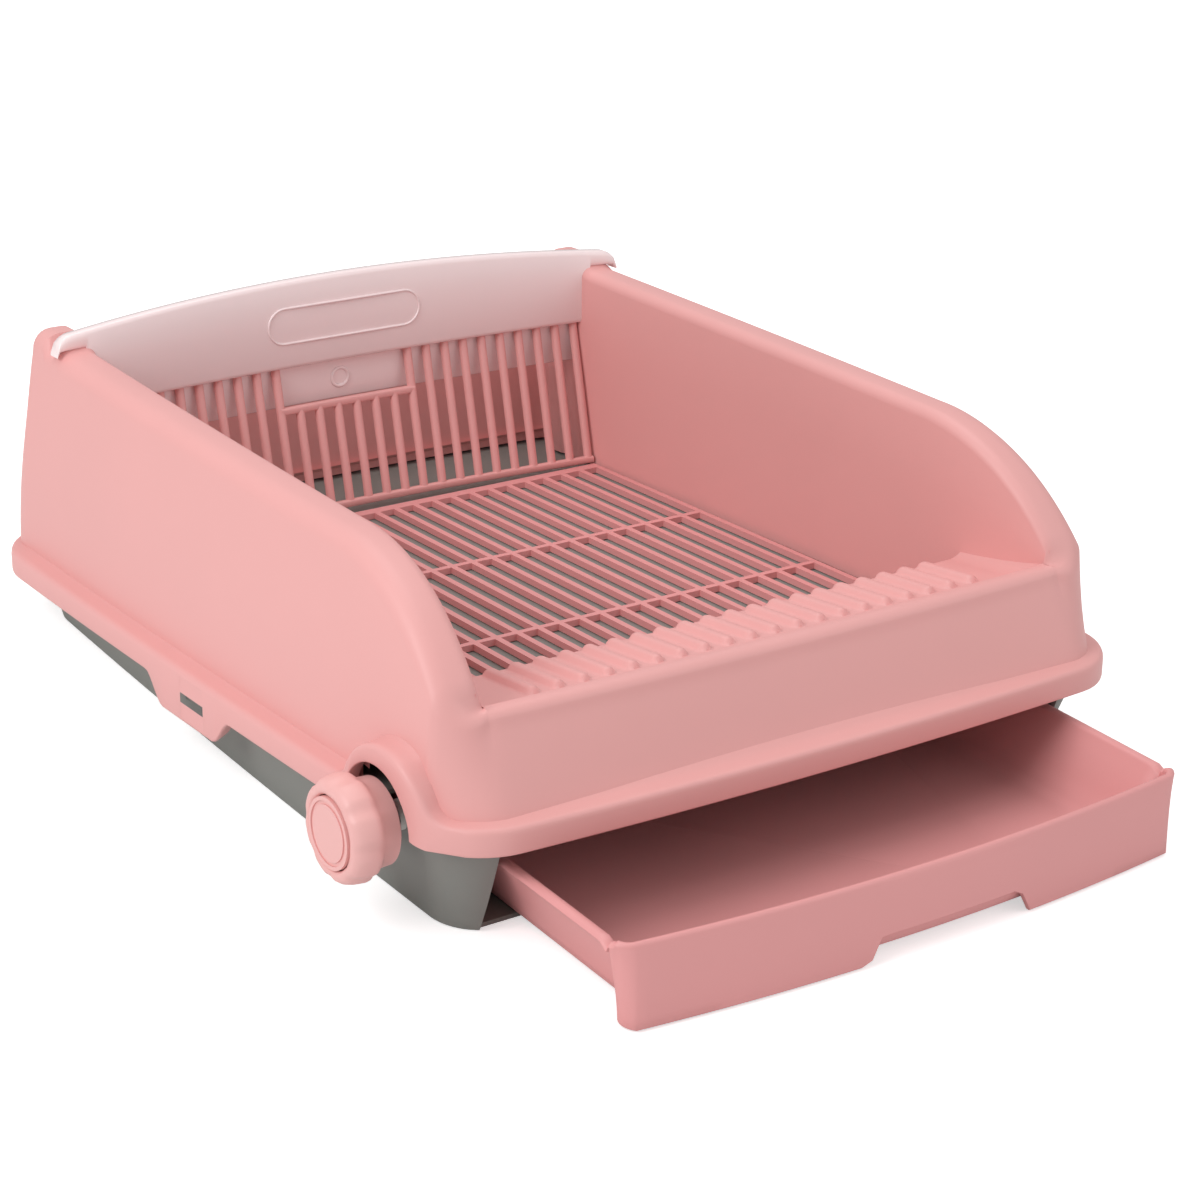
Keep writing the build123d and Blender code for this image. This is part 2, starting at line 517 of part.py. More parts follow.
# ---- drawer ---------------------------------------------------------------------------------
def drawer_tray():
    """Pull-out drawer: a drafted tray and its bowed front with a finger notch."""
    top = DRAWER_BOTTOM + DRAWER_HEIGHT
    front = FRONT_Y + FRONT_DEPTH
    rear = front + DRAWER_LENGTH

    def tray_space(inset, low):
        def section(z, half):
            width, length = 2 * (half - inset), rear - front - 2 * inset + FRONT_DEPTH / 2
            middle = (rear + front - FRONT_DEPTH / 2) / 2
            return Pos(0, middle, z) * fillet(Rectangle(width, length).vertices(), 8 - inset)
        slope = DRAWER_DRAFT / DRAWER_HEIGHT
        narrow = DRAWER_HALF_WIDTH - DRAWER_DRAFT + slope * (low - DRAWER_BOTTOM)
        return loft([section(low, narrow), section(top + (0 if inset == 0 else 1), DRAWER_HALF_WIDTH)])

    tray = tray_space(0, DRAWER_BOTTOM) - tray_space(SKIN, DRAWER_BOTTOM + DRAWER_FLOOR)

    def front_section(z, half, y_face):
        depth = FRONT_DEPTH
        edges = [
            ThreePointArc((-half, y_face + FRONT_BOW), (0, y_face), (half, y_face + FRONT_BOW)),
            Line((half, y_face + FRONT_BOW), (half, y_face + FRONT_BOW + depth)),
            ThreePointArc((half, y_face + FRONT_BOW + depth), (0, y_face + depth), (-half, y_face + FRONT_BOW + depth)),
            Line((-half, y_face + FRONT_BOW + depth), (-half, y_face + FRONT_BOW)),
        ]
        return Pos(0, 0, z) * make_face(edges)

    panel = loft([
        front_section(FRONT_BOTTOM, FRONT_FOOT_HALF_WIDTH, FRONT_Y - FRONT_RAKE),
        front_section(FRONT_TOP, FRONT_HALF_WIDTH, FRONT_Y),
    ])
    hollow = loft([
        Pos(0, SKIN, 0) * front_section(FRONT_BOTTOM - 1, FRONT_FOOT_HALF_WIDTH - SKIN, FRONT_Y - FRONT_RAKE),
        Pos(0, SKIN, 0) * front_section(FRONT_TOP - SKIN, FRONT_HALF_WIDTH - SKIN, FRONT_Y),
    ])
    panel = panel - hollow
    grip = Plane.XZ * make_face(Polyline(
        (GRIP_X - GRIP_HALF_FOOT, FRONT_BOTTOM - 1), (GRIP_X - GRIP_HALF_TOP, GRIP_HEIGHT),
        (GRIP_X + GRIP_HALF_TOP, GRIP_HEIGHT), (GRIP_X + GRIP_HALF_FOOT, FRONT_BOTTOM - 1), close=True))
    grip = Pos(0, FRONT_Y + SKIN * 2, 0) * extrude(grip, SKIN * 8)
    return single(tray + panel - grip)


# ---- rear grille and back panel -------------------------------------------------------------
def rear_grille():
    """Comb of bars behind the litter, bowed like the back panel, with an open window at the top."""
    side = half_width_inside(GRILLE_TOP) - RIM_SIDE_BOW - 1.0

    def strip(x0, x1, low, high):
        sheet = panel_sheet(side, GRILLE_DEPTH, low, high, GRILLE_SETBACK)
        return sheet & block(x0, x1, -REACH, REACH, low, high)

    comb = strip(-side, side, GRILLE_BOTTOM, GRILLE_BOTTOM + GRILLE_RAIL)
    comb += strip(-side, -WINDOW_HALF, GRILLE_TOP - GRILLE_RAIL, GRILLE_TOP)
    comb += strip(WINDOW_HALF, side, GRILLE_TOP - GRILLE_RAIL, GRILLE_TOP)
    comb += strip(-WINDOW_HALF - GRILLE_BAR, WINDOW_HALF + GRILLE_BAR, WINDOW_RAIL - GRILLE_RAIL, WINDOW_RAIL)
    for i in range(GRILLE_BARS):
        x = (i - (GRILLE_BARS - 1) / 2) * GRILLE_PITCH
        top = WINDOW_RAIL if abs(x) < WINDOW_HALF else GRILLE_TOP
        comb += strip(x - GRILLE_BAR / 2, x + GRILLE_BAR / 2, GRILLE_BOTTOM, top)
    lean = -degrees(atan(GRILLE_LEAN))
    hinge = PANEL_Y + GRILLE_SETBACK
    return DECK * single(Pos(0, hinge, GRILLE_TOP) * Rot(lean, 0, 0) * Pos(0, -hinge, -GRILLE_TOP) * comb)


def panel_sheet(half_width, thickness, low, high, setback=0.0):
    """An upright sheet bowed to the rear, its front face set back from the panel's."""
    y, wide = PANEL_Y + setback, PANEL_HALF_WIDTH
    far = y + thickness
    edges = [
        ThreePointArc((-wide, y - PANEL_BOW), (0, y), (wide, y - PANEL_BOW)),
        Line((wide, y - PANEL_BOW), (wide, far - PANEL_BOW)),
        ThreePointArc((wide, far - PANEL_BOW), (0, far), (-wide, far - PANEL_BOW)),
        Line((-wide, far - PANEL_BOW), (-wide, y - PANEL_BOW)),
    ]
    sheet = Pos(0, 0, low) * extrude(make_face(edges), high - low)
    return sheet & block(-half_width, half_width, -REACH, REACH, low - 1, high + 1)


def back_panel():
    """Lift-out back panel: a thick arched band over a thin skirt, with an ear at each end."""
    half = half_width_inside(PANEL_TOP_END) - 1.0
    ear_low = WALL_TOP_REAR + SEAT_GAP + EAR_RISE
    depth = BAND_THICKNESS + PANEL_THICKNESS
    band = panel_sheet(PANEL_HALF_WIDTH, depth, BAND_LOW, PANEL_TOP)
    band -= block(half, REACH, -REACH, REACH, -REACH, ear_low)
    band -= block(-REACH, -half, -REACH, REACH, -REACH, ear_low)
    skirt = panel_sheet(half - 6, PANEL_THICKNESS, PANEL_LOW, BAND_LOW + 2, BAND_THICKNESS - 0.5)
    ends, middle = (PANEL_HALF_WIDTH + 1, PANEL_TOP_END), (0, PANEL_TOP)
    arch = Plane.XZ * make_face([
        ThreePointArc((-ends[0], ends[1]), middle, ends),
        Polyline(ends, (ends[0], 0), (-ends[0], 0), (-ends[0], ends[1])),
    ])
    arch = Pos(0, REACH / 2, 0) * extrude(arch, REACH, both=True)
    return DECK * single((skirt + band) & arch)


def main():
    """Write every sub-part."""
    os.makedirs(PARTS, exist_ok=True)
    save("base_tub", base_tub())
    save("litter_pan", litter_pan())
    save("upper_shell", upper_shell())
    save("rear_grille", rear_grille())
    save("back_panel", back_panel())
    save("drawer_tray", drawer_tray())
    save("drive_shaft", drive_shaft())
    save("shaft_clip", shaft_clip())
    save("shaft_bush_left", shaft_bush(-1))
    save("shaft_bush_right", shaft_bush(1))
    save("knob", knob())
    save("knob_cap", knob_cap())
    save("knob_screw", knob_screw())
    save("sieve_grate", sieve_grate())
    save("grate_screws", grate_screws())


main()
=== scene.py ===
"""Looks of the drawer litter box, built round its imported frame."""
import json
import math

import bmesh
import bpy
from mathutils import Matrix, Vector


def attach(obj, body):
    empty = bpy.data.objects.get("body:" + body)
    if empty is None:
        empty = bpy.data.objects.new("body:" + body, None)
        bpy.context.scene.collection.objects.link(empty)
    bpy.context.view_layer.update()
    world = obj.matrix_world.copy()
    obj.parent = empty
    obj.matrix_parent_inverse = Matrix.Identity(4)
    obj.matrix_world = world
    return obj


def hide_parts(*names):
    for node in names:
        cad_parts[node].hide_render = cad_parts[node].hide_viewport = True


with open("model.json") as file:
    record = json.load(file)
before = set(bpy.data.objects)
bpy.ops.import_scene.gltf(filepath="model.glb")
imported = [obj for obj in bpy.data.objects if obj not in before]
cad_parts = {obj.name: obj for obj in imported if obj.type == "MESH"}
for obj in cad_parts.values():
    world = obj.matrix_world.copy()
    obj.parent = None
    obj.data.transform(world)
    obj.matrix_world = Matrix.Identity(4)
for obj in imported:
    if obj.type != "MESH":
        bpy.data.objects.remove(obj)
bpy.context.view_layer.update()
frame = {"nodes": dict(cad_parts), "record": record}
MM = 0.001

# ---- camera ---------------------------------------------------------------------------------
CAMERA_AZIMUTH = -33.58
CAMERA_ELEVATION = 23.21
CAMERA_ROLL = 1.70
CAMERA_DISTANCE = 1.6373
CAMERA_TARGET = Vector((-0.0351, 0.0, 0.0606))
CAMERA_FOCAL = 2765.0      # in pixels of a 1200 pixel frame
CAMERA_SHIFT = 0.1
CAMERA_REACH = 20.0
FRAME_PIXELS = 1200
SENSOR = 36.0


def make_camera():
    """The camera at the photograph's angle."""
    azimuth, elevation = math.radians(CAMERA_AZIMUTH), math.radians(CAMERA_ELEVATION)
    back = Vector((math.sin(azimuth) * math.cos(elevation), -math.cos(azimuth) * math.cos(elevation),
                   math.sin(elevation)))
    right = Vector((math.cos(azimuth), math.sin(azimuth), 0.0))
    up = back.cross(right)
    turn = Matrix.Rotation(math.radians(CAMERA_ROLL), 3, back)
    right, up = turn @ right, turn @ up
    data = bpy.data.cameras.new("camera")
    data.lens = CAMERA_FOCAL / FRAME_PIXELS * SENSOR
    data.sensor_width = SENSOR
    data.shift_x = CAMERA_SHIFT
    data.clip_end = CAMERA_REACH
    camera = bpy.data.objects.new("camera", data)
    rotation = Matrix((right, up, back)).transposed()
    camera.matrix_world = Matrix.Translation(CAMERA_TARGET + back * CAMERA_DISTANCE) @ rotation.to_4x4()
    bpy.context.scene.collection.objects.link(camera)
    bpy.context.scene.camera = camera


# ---- materials ------------------------------------------------------------------------------
PLASTIC_IOR = 1.49
COAT_ROUGHNESS = 0.25
FLOW_SCALE = 9.0           # of the broad mottling, in metres
FLOW_DETAIL = 3.0
MOTTLING = 0.03            # share by which the colour varies
ROUGHNESS_SPREAD = 0.05
GRAIN = 0.00025            # height of the moulded grain, in metres
GRAIN_SPACING = 4.0        # in grain heights
GRAIN_DETAIL = 4.0


def linear(red, green, blue):
    """A colour as it shows on screen, 0 to 255, in the shader's linear values."""
    values = []
    for part in (red, green, blue):
        share = part / 255.0
        values.append(share / 12.92 if share <= 0.04045 else ((share + 0.055) / 1.055) ** 2.4)
    return (*values, 1.0)


def moulded_plastic(name, colour, roughness, coat=0.0, grain=GRAIN, grain_strength=0.12):
    """Moulded plastic: a fine spark-eroded grain, faint flow mottling and a satin sheen."""
    material = bpy.data.materials.new(name)
    material.use_nodes = True
    nodes, links = material.node_tree.nodes, material.node_tree.links
    shader = nodes["Principled BSDF"]
    shader.inputs["IOR"].default_value = PLASTIC_IOR
    shader.inputs["Coat Weight"].default_value = coat
    shader.inputs["Coat Roughness"].default_value = COAT_ROUGHNESS
    place = nodes.new("ShaderNodeTexCoord")

    flow = nodes.new("ShaderNodeTexNoise")
    flow.inputs["Scale"].default_value = FLOW_SCALE
    flow.inputs["Detail"].default_value = FLOW_DETAIL
    links.new(place.outputs["Object"], flow.inputs["Vector"])
    tint = nodes.new("ShaderNodeMix")
    tint.data_type = "RGBA"
    base = Vector(linear(*colour)[:3])
    tint.inputs["A"].default_value = (*(base * (1 - MOTTLING)), 1.0)
    tint.inputs["B"].default_value = (*(base * (1 + MOTTLING)), 1.0)
    links.new(flow.outputs["Fac"], tint.inputs["Factor"])
    links.new(tint.outputs["Result"], shader.inputs["Base Color"])

    dull = nodes.new("ShaderNodeMapRange")
    dull.inputs["To Min"].default_value = roughness - ROUGHNESS_SPREAD
    dull.inputs["To Max"].default_value = roughness + ROUGHNESS_SPREAD
    links.new(flow.outputs["Fac"], dull.inputs["Value"])
    links.new(dull.outputs["Result"], shader.inputs["Roughness"])

    fine = nodes.new("ShaderNodeTexNoise")
    fine.inputs["Scale"].default_value = 1.0 / (grain * GRAIN_SPACING)
    fine.inputs["Detail"].default_value = GRAIN_DETAIL
    links.new(place.outputs["Object"], fine.inputs["Vector"])
    bump = nodes.new("ShaderNodeBump")
    bump.inputs["Strength"].default_value = grain_strength
    bump.inputs["Distance"].default_value = grain
    links.new(fine.outputs["Fac"], bump.inputs["Height"])
    links.new(bump.outputs["Normal"], shader.inputs["Normal"])
    return material


def steel(name):
    """Zinc-plated steel with a slightly coarser grain."""
    material = moulded_plastic(name, (176, 178, 180), 0.34, grain=0.0004, grain_strength=0.2)
    material.node_tree.nodes["Principled BSDF"].inputs["Metallic"].default_value = 1.0
    return material


SHELL = moulded_plastic("shell_pink", (233, 170, 167), 0.46)
DRAWER = moulded_plastic("drawer_pink", (229, 158, 157), 0.44)
PANEL = moulded_plastic("panel_pink", (252, 232, 232), 0.22, coat=0.4, grain_strength=0.05)
KNOB = moulded_plastic("knob_pink", (237, 180, 176), 0.43)
GREY = moulded_plastic("base_grey", (134, 135, 130), 0.5)
BUSH = moulded_plastic("bush_plastic", (225, 225, 220), 0.35)
STEEL = steel("steel")
SLOT_MATERIALS = {
    "shell_pink": SHELL, "drawer_pink": DRAWER, "panel_pink": PANEL, "knob_pink": KNOB,
    "base_grey": GREY, "grate_plastic": DRAWER, "bush_plastic": BUSH, "steel": STEEL,
}


def dress_frame():
    """Give each CAD node the material of its slot."""
    for part in frame["record"]["subparts"]:
        node = frame["nodes"][part["node"]]
        material = SLOT_MATERIALS[part["material_slot"]]
        for slot in node.material_slots:
            slot.material = material


# ---- places, in millimetres -----------------------------------------------------------------
# Shell, panel and grille are drawn level in the deck's own frame, over the rim's lower edge.
DECK_PITCH = 3.35          # degrees, front higher than the rear
DECK_HEIGHT = 44.2
DECK = Matrix.Translation((0, 0, DECK_HEIGHT)) @ Matrix.Rotation(math.radians(-DECK_PITCH), 4, "X")
FLAT = Matrix.Identity(4)
STEP = 3.0                 # between the sections of a sweep, along a side
END_STEP = 6.0             # and along an end
CORNER_STEPS = 12
MERGE_DISTANCE = 1e-6      # metres
SPLIT_ANGLE = 50.0         # degrees: sharper edges are shaded as edges


# ---- mesh helpers ---------------------------------------------------------------------------
def add_mesh(name, points, faces, place, material, body, nodes=()):
    """A smooth mesh from points in millimetres, which rides on a body and may stand for CAD nodes."""
    mesh = bpy.data.meshes.new(name)
    mesh.from_pydata([place @ Vector(p) for p in points], [], faces)
    mesh.transform(Matrix.Scale(MM, 4))
    work = bmesh.new()
    work.from_mesh(mesh)
    bmesh.ops.remove_doubles(work, verts=work.verts, dist=MERGE_DISTANCE)
    bmesh.ops.recalc_face_normals(work, faces=work.faces)
    work.to_mesh(mesh)
    work.free()
    mesh.shade_smooth()
    piece = bpy.data.objects.new(name, mesh)
    bpy.context.scene.collection.objects.link(piece)
    mesh.materials.append(material)
    edges = piece.modifiers.new("edges", "EDGE_SPLIT")
    edges.split_angle = math.radians(SPLIT_ANGLE)
    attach(piece, body)
    if nodes:
        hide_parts(*nodes)
    return piece


def gather(parts):
    """Several meshes' points and faces as one."""
    points, faces = [], []
    for part_points, part_faces in parts:
        start = len(points)
        points += part_points
        faces += [tuple(start + i for i in face) for face in part_faces]
    return points, faces


def grid_faces(columns, rows, start=0, closed=False, keep=None):
    """Quads between columns of points that follow each other, all with the same count of rows."""
    faces = []
    for i in range(columns if closed else columns - 1):
        for j in range(rows - 1):
            if keep is None or keep(i, j):
                a, b = start + i * rows + j, start + (i + 1) % columns * rows + j
                faces.append((a, b, b + 1, a + 1))
    return faces


def spread(low, high, step=STEP):
    """Even values from low to high, about a step apart."""
    count = max(1, round(abs(high - low) / step))
    return [low + (high - low) * i / count for i in range(count + 1)]


def ease(value):
    """A smooth run from 0 to 1."""
    value = min(1.0, max(0.0, value))
    return value * value * (3 - 2 * value)


def loop_stations(half_width, front, rear, corner, side_bow, front_bow, rear_bow):
    """Points round a bowed, rounded rectangle, each with its outward normal: left side first."""
    stations = []
    middle, half = (front + rear) / 2, (rear - front) / 2

    def add(x, y, nx, ny):
        x -= math.copysign(side_bow * ((y - middle) / half) ** 2, x) * abs(nx)
        bow = front_bow if ny < 0 else rear_bow
        y += math.copysign(bow * (1 - (x / half_width) ** 2), ny) * abs(ny)
        stations.append((x, y, nx, ny))

    def turn(cx, cy, start):
        for k in range(1, CORNER_STEPS):
            angle = math.radians(start + 90 * k / CORNER_STEPS)
            nx, ny = math.cos(angle), math.sin(angle)
            add(cx + corner * nx, cy + corner * ny, nx, ny)

    inner = half_width - corner
    for y in spread(rear - corner, front + corner):
        add(-half_width, y, -1, 0)
    turn(-inner, front + corner, 180)
    for x in spread(-inner, inner, END_STEP):
        add(x, front, 0, -1)
    turn(inner, front + corner, 270)
    for y in spread(front + corner, rear - corner):
        add(half_width, y, 1, 0)
    turn(inner, rear - corner, 0)
    for x in spread(inner, -inner, END_STEP):
        add(x, rear, 0, 1)
    turn(-inner, rear - corner, 90)
    return stations


# ---- shell: walls ---------------------------------------------------------------------------
WALL_HALF_WIDTH = 221.5    # outer face where it leaves the rim
WALL_FRONT = -271.0
WALL_REAR = 274.0
WALL_CORNER = 34.0
WALL_END_BOW = 2.0
WALL_DEPTH = 27.0          # through the double side walls
LIP_DEPTH = 14.0
REAR_DEPTH = 6.0
SIDE_FALL = 11.6           # the bulging faces draw in by this much over the next height
REAR_FALL = 15.0
BULGE_HEIGHT = 130.0
FRONT_LEAN = 0.40          # rearward run of the front face for each unit of height
CREST_REAR = 146.0         # height of the crest at its rear end
CREST_REAR_Y = 213.0
CREST_FRONT = 132.5        # height of the crest where its front curve starts
CREST_FRONT_Y = -128.0
FRONT_CURVE = 133.0        # radius of that curve
LIP_HEIGHT = 61.0
LIP_EASE = 12.0            # softness of the turn from the curve to the lip
REAR_WALL_TOP = 98.0
FLARE_START = 198.0        # the crest sweeps up to the back panel
FLARE_TOP = 150.0
SLOT_START = 210.0         # the panel's ear lies between these
SLOT_END = 224.0
SHOULDER_TOP = 153.0       # raised end of the wall behind the panel
SHOULDER_END = 243.0
SHOULDER_FOOT = 256.0
CREST_OUTER, LIP_OUTER, REAR_OUTER = 12.0, 6.0, 2.5      # outer roll of the crest
CREST_INNER, LIP_INNER, REAR_INNER = 7.0, 5.0, 2.5       # inner roll
FACE_ROWS = 12
ROLL_ROWS = 6
LEDGE_TUCK = 10.0          # how far the inner faces' rows lie below the lip
WALL_FOOT_Z = 12.0
WALL_CUT_GAP = 1.0         # between the wall's edge and the knob's opening


def softened(value):
    """Zero below zero and the value itself above, with a soft turn between."""
    return (value + math.hypot(value, LIP_EASE)) / 2


def crest_height(y):
    """Height of the wall's crest at a place along its side."""
    if y < CREST_FRONT_Y:
        drop = min(1.0, (CREST_FRONT_Y - y) / FRONT_CURVE)
        height = CREST_FRONT - FRONT_CURVE * (1 - math.sqrt(1 - drop * drop))
        rise = CREST_FRONT - LIP_HEIGHT
        return LIP_HEIGHT + softened(height - LIP_HEIGHT) - softened(rise) + rise
    share = (y - CREST_FRONT_Y) / (CREST_REAR_Y - CREST_FRONT_Y)
    line = CREST_FRONT + (CREST_REAR - CREST_FRONT) * min(1.0, share)
    if y < SLOT_START:
        return line + (FLARE_TOP - CREST_REAR) * ease((y - FLARE_START) / (SLOT_START - FLARE_START))
    if y < SLOT_END:
        return CREST_REAR
    if y < SHOULDER_END:
        return SHOULDER_TOP
    fall = ease((y - SHOULDER_END) / (SHOULDER_FOOT - SHOULDER_END))
    return SHOULDER_TOP + (REAR_WALL_TOP - SHOULDER_TOP) * fall


def wall_inset(z, nx, ny):
    """How far the bulging outer face has drawn in at a height."""
    rise = (z / BULGE_HEIGHT) ** 2
    return SIDE_FALL * rise * abs(nx) + (FRONT_LEAN * z if ny < 0 else REAR_FALL * rise) * abs(ny)


def wall_column(x, y, nx, ny):
    """One section of the double wall: outer face, rounded crest and inner face."""
    front, rear = max(0.0, -ny), max(0.0, ny)

    def mix(side_value, front_value, rear_value):
        return side_value + (front_value - side_value) * front + (rear_value - side_value) * rear

    height = crest_height(y - ny * wall_inset(LIP_HEIGHT, nx, ny))
    depth = mix(WALL_DEPTH, LIP_DEPTH, REAR_DEPTH)
    outer = mix(CREST_OUTER, LIP_OUTER, REAR_OUTER)
    inner = mix(CREST_INNER, LIP_INNER, REAR_INNER)
    column = []

    def add(inset, z):
        column.append((x - nx * inset, y - ny * inset, z))

    for k in range(FACE_ROWS):
        z = (height - outer) * k / (FACE_ROWS - 1)
        add(wall_inset(z, nx, ny), z)
    edge = wall_inset(height - outer, nx, ny)
    for k in range(1, ROLL_ROWS + 1):
        angle = math.radians(90 * k / ROLL_ROWS)
        add(edge + outer * (1 - math.cos(angle)), height - outer + outer * math.sin(angle))
    for k in range(ROLL_ROWS):
        angle = math.radians(90 * k / ROLL_ROWS)
        add(edge + depth - inner + inner * math.sin(angle), height - inner + inner * math.cos(angle))
    for z in (height - inner, (height + LIP_HEIGHT) / 2 - LEDGE_TUCK, LIP_HEIGHT - LEDGE_TUCK, WALL_FOOT_Z):
        add(edge + depth, min(z, height - inner))
    return column


def wall_mesh():
    """The double walls all round, open where the knob's shaft passes."""
    stations = loop_stations(
        WALL_HALF_WIDTH, WALL_FRONT, WALL_REAR, WALL_CORNER, SIDE_BOW, WALL_END_BOW, END_BOW)
    columns = [wall_column(*station) for station in stations]
    points = [p for column in columns for p in column]

    def keep(i, j):
        x, y, z = columns[i][j]
        return x > 0 or math.hypot(y - ARCH_Y, z - ARCH_Z) > ARCH_RADIUS + WALL_CUT_GAP

    return points, grid_faces(len(columns), len(columns[0]), closed=True, keep=keep)


# ---- shell: rim, latch tabs and arch --------------------------------------------------------
RIM_HALF_WIDTH = 232.5
RIM_HALF_LENGTH = 271.5    # before the bow of the ends
RIM_CORNER = 44.0
RIM_DEPTH = 15.0
SIDE_BOW = 3.5
END_BOW = 8.5
TAB_Y = -3.0
TAB_TOP_HALF = 50.0        # half lengths of the latch tab at the rim and at its foot
TAB_FOOT_HALF = 30.0
TAB_DROP = 16.5
WINDOW_Y = -9.0
WINDOW_HALF = 14.0
WINDOW_LOW = -5.0
WINDOW_HIGH = 1.0
WINDOW_SINK = 0.05         # of the face round the window, behind the band's
ARCH_Y = -205.5            # opening round the shaft
ARCH_Z = 2.2
ARCH_RADIUS = 30.0
ARCH_OUTER_Y = -211.5      # the arch's own curve, a little ahead and higher
ARCH_OUTER_Z = 5.7
ARCH_OUTER_RADIUS = 38.5
ARCH_BLEND = 14.0          # concave flow at its feet
ARCH_FLARE = 10.0
ARCH_STEPS = 28
ARCH_FOOT_STEPS = 8
# Rows of the rim's section: from which edge (0 low, 1 high), how far in, how far up.
RIM_BAND = (
    (0, 8.0, 3.0), (0, 3.0, 0.5), (0, 1.2, 0.0), (0, 0.3, 0.4), (0, 0.0, 1.4),
    (1, 0.0, -4.0), (1, 0.25, -2.2), (1, 0.9, -0.9), (1, 2.2, -0.2), (1, 4.0, 0.0),
    (1, 9.0, 0.8), (1, 11.5, 1.6), (1, 16.0, 5.0),
)
BAND_FACE_ROW = 4          # the row where the band's flat face starts


def rim_outline(y):
    """The rim's outline on the knob's side at a place along it: x and outward normal."""
    turn_y = RIM_CORNER - RIM_HALF_LENGTH
    share = min(1.0, max(0.0, turn_y - y) / RIM_CORNER)
    across = math.sqrt(1 - share * share)
    bow_in = SIDE_BOW * (y / RIM_HALF_LENGTH) ** 2 * across
    return bow_in - RIM_HALF_WIDTH + RIM_CORNER * (1 - across), -across, -share


def rim_stations():
    """Places round the rim: outer point low, outer point high, each with its normal."""
    loop = loop_stations(
        RIM_HALF_WIDTH, -RIM_HALF_LENGTH, RIM_HALF_LENGTH, RIM_CORNER, SIDE_BOW, END_BOW, END_BOW)
    arch = arch_stations()
    first, last = arch[0][1][1], arch[-1][1][1]
    stations = []
    for x, y, nx, ny in loop:
        if x < 0 and last - 1 < y < first + 1:
            stations += arch
            arch = []
            continue
        low = 0.0
        if abs(nx) == 1:
            low = -TAB_DROP * ease((TAB_TOP_HALF - abs(y - TAB_Y)) / (TAB_TOP_HALF - TAB_FOOT_HALF))
        normal = Vector((nx, ny, 0))
        stations.append((Vector((x, y, low)), Vector((x, y, RIM_DEPTH)), normal, normal))
    return stations


def arch_stations():
    """The rim's band climbing over the knob, with a concave flow at either foot."""
    centre_rise = RIM_DEPTH + ARCH_BLEND - ARCH_OUTER_Z
    foot = math.sqrt((ARCH_OUTER_RADIUS + ARCH_BLEND) ** 2 - centre_rise ** 2)
    meet = math.atan2(centre_rise, foot)
    blend, over = [], []
    for k in range(ARCH_FOOT_STEPS):
        share = k / ARCH_FOOT_STEPS
        angle = math.pi / 2 + (math.pi / 2 - meet) * share
        high = (foot + ARCH_BLEND * math.cos(angle), RIM_DEPTH + ARCH_BLEND * (1 - math.sin(angle)))
        low = (ARCH_RADIUS + ARCH_FLARE * (1 - share) ** 2, ARCH_Z * share)
        blend.append((low, high))
    for k in range(ARCH_STEPS + 1):
        low_angle = math.pi * k / ARCH_STEPS
        high_angle = meet + (math.pi - 2 * meet) * k / ARCH_STEPS
        low = (ARCH_RADIUS * math.cos(low_angle), ARCH_Z + ARCH_RADIUS * math.sin(low_angle))
        high_rise = ARCH_OUTER_RADIUS * math.sin(high_angle)
        over.append((low, (ARCH_OUTER_RADIUS * math.cos(high_angle), ARCH_OUTER_Z + high_rise)))
    mirrored = [((-low[0], low[1]), (-high[0], high[1])) for low, high in reversed(blend)]
    stations = []
    for low, high in blend + over + mirrored:
        ends, normals = [], []
        for middle, (along, z) in ((ARCH_Y, low), (ARCH_OUTER_Y, high)):
            x, nx, ny = rim_outline(middle + along)
            ends.append(Vector((x, middle + along, z)))
            normals.append(Vector((nx, ny, 0)))
        stations.append((*ends, *normals))
    return stations


def rim_mesh():
    """The overhanging rim: a rounded band with a flange up to the wall."""
    stations = rim_stations()
    points = []
    for low, high, low_normal, high_normal in stations:
        up = (high - low).normalized()
        for end, inset, rise in RIM_BAND:
            base, normal = (high, high_normal) if end else (low, low_normal)
            points.append(tuple(base + up * rise - normal * inset))

    def keep(i, j):
        beside_window = abs(stations[i][0].y - WINDOW_Y) >= WINDOW_HALF or stations[i][2].x == 0
        return beside_window or j != BAND_FACE_ROW

    return points, grid_faces(len(stations), len(RIM_BAND), closed=True, keep=keep)


def tab_fill():
    """Round the windows of the latch tabs: the band above and below the opening."""
    low_edge, high_edge = RIM_BAND[BAND_FACE_ROW][2], RIM_BAND[BAND_FACE_ROW + 1][2]
    strips = []
    for side in (-1, 1):
        x = side * (RIM_HALF_WIDTH - WINDOW_SINK)
        for low, high in ((-TAB_DROP + low_edge, WINDOW_LOW), (WINDOW_HIGH, RIM_DEPTH + high_edge)):
            places = spread(WINDOW_Y - WINDOW_HALF - STEP, WINDOW_Y + WINDOW_HALF + STEP)
            points = [(x, y, z) for y in places for z in (low, high)]
            strips.append((points, grid_faces(len(places), 2)))
    return gather(strips)


# ---- shell: ledge and ribs ------------------------------------------------------------------
LEDGE_FRONT_Y = -238.0
LEDGE_REAR_Y = -173.5
LEDGE_FRONT_Z = 56.8
LEDGE_REAR_Z = 51.2
LEDGE_BLEND = 16.0         # radius where the ledge meets the side walls
LEDGE_STEP_X = 1.2         # of its fine mesh
LEDGE_STEP_Y = 1.6
LEDGE_NOSE = (2.0, 3.0)    # run and drop of its rounded rear edge
LEDGE_FACE = 2.5           # run of its rear face
RIB_COUNT = 20
RIB_PITCH = 15.6
RIB_X = 6.0                # middle of the row
RIB_RADIUS = 4.6
RIB_HEIGHT = 3.8
RIB_FRONT_Y = -214.0
RIB_REAR_Y = -177.0


